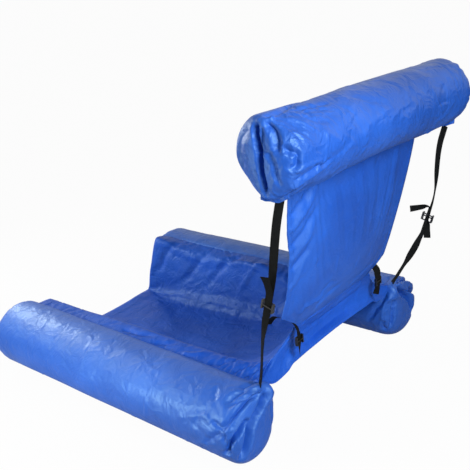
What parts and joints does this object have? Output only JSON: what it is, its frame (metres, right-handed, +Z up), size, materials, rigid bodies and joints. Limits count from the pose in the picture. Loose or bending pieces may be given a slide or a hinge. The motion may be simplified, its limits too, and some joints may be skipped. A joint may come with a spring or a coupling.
{
  "type": "inflatable pool chair",
  "caption": "Floating pool chair: two inflated arm tubes carry a slung cloth seat, with a cloth back panel hung from an inflated head tube and held by webbing straps.",
  "frame": {"origin": "on the floor, under the centre of the chair's bounding box", "axes": "+Z up; -Y is the front, where the sitter's legs go; +X is the sitter's left"},
  "size_m": [0.9632, 1.294, 0.9255],
  "materials": {
    "blue_nylon": "coated nylon taffeta with a soft sheen",
    "bladder_film": "smooth vinyl film",
    "valve_plastic": "moulded vinyl",
    "black_webbing": "woven polypropylene webbing",
    "buckle_plastic": "moulded acetal"
  },
  "bodies": {
    "base": {"left_arm_cover": "blue_nylon", "right_arm_cover": "blue_nylon", "left_arm_bladder": "bladder_film", "right_arm_bladder": "bladder_film", "left_arm_valve": "valve_plastic", "right_arm_valve": "valve_plastic", "seat_sling": "blue_nylon", "left_corner_strap": "black_webbing", "right_corner_strap": "black_webbing", "left_corner_buckle": "buckle_plastic", "right_corner_buckle": "buckle_plastic"},
    "backrest": {"back_panel": "blue_nylon", "head_cover": "blue_nylon", "head_bladder": "bladder_film", "head_valve": "valve_plastic", "left_head_tab": "blue_nylon", "right_head_tab": "blue_nylon"},
    "left_lower": {"left_lower_strap": "black_webbing"},
    "right_lower": {"right_lower_strap": "black_webbing"},
    "left_upper": {"left_upper_strap": "black_webbing"},
    "right_upper": {"right_upper_strap": "black_webbing"},
    "left_buckle": {"left_side_buckle": "buckle_plastic"},
    "right_buckle": {"right_side_buckle": "buckle_plastic"},
    "left_plug": {"left_arm_plug": "valve_plastic"},
    "right_plug": {"right_arm_plug": "valve_plastic"},
    "top_plug": {"head_plug": "valve_plastic"}
  },
  "joints": [
    {"name": "recline", "type": "hinge", "parent": "base", "child": "backrest", "pos_m": [0, 0.42654, 0.312], "axis": [-1, 0, 0], "range_deg": [-50, 30]},
    {"name": "left_strap_swing", "type": "hinge", "parent": "base", "child": "left_lower", "pos_m": [0.34, 0.41404, 0.20429], "axis": [-1, 0, 0], "range_deg": [-42, 26]},
    {"name": "left_strap_hang", "type": "hinge", "parent": "backrest", "child": "left_upper", "pos_m": [0.38291, 0.55619, 0.70867], "axis": [-1, 0, 0], "range_deg": [-8, 12]},
    {"name": "left_buckle_slide", "type": "slide", "parent": "left_lower", "child": "left_buckle", "axis": [0, 0.2713, 0.9625], "range_m": [-0.012, 0.012]},
    {"name": "right_strap_swing", "type": "hinge", "parent": "base", "child": "right_lower", "pos_m": [-0.34, 0.41404, 0.20486], "axis": [-1, 0, 0], "range_deg": [-42, 26]},
    {"name": "right_strap_hang", "type": "hinge", "parent": "backrest", "child": "right_upper", "pos_m": [-0.37464, 0.56677, 0.68486], "axis": [-1, 0, 0], "range_deg": [-8, 12]},
    {"name": "right_buckle_slide", "type": "slide", "parent": "right_lower", "child": "right_buckle", "axis": [0, 0.3032, 0.9529], "range_m": [-0.012, 0.012]},
    {"name": "left_plug_pull", "type": "slide", "parent": "base", "child": "left_plug", "axis": [0, -1, 0], "range_m": [0, 0.02]},
    {"name": "right_plug_pull", "type": "slide", "parent": "base", "child": "right_plug", "axis": [0, -1, 0], "range_m": [0, 0.02]},
    {"name": "head_plug_pull", "type": "slide", "parent": "backrest", "child": "top_plug", "axis": [-0.9994, 0.014, -0.0314], "range_m": [0, 0.02]}
  ],
  "couplings": [
    {"joint": "left_strap_swing", "follows": "recline", "ratio": 0.798},
    {"joint": "left_strap_hang", "follows": "recline", "ratio": -0.202},
    {"joint": "right_strap_swing", "follows": "recline", "ratio": 0.792},
    {"joint": "right_strap_hang", "follows": "recline", "ratio": -0.208}
  ]
}
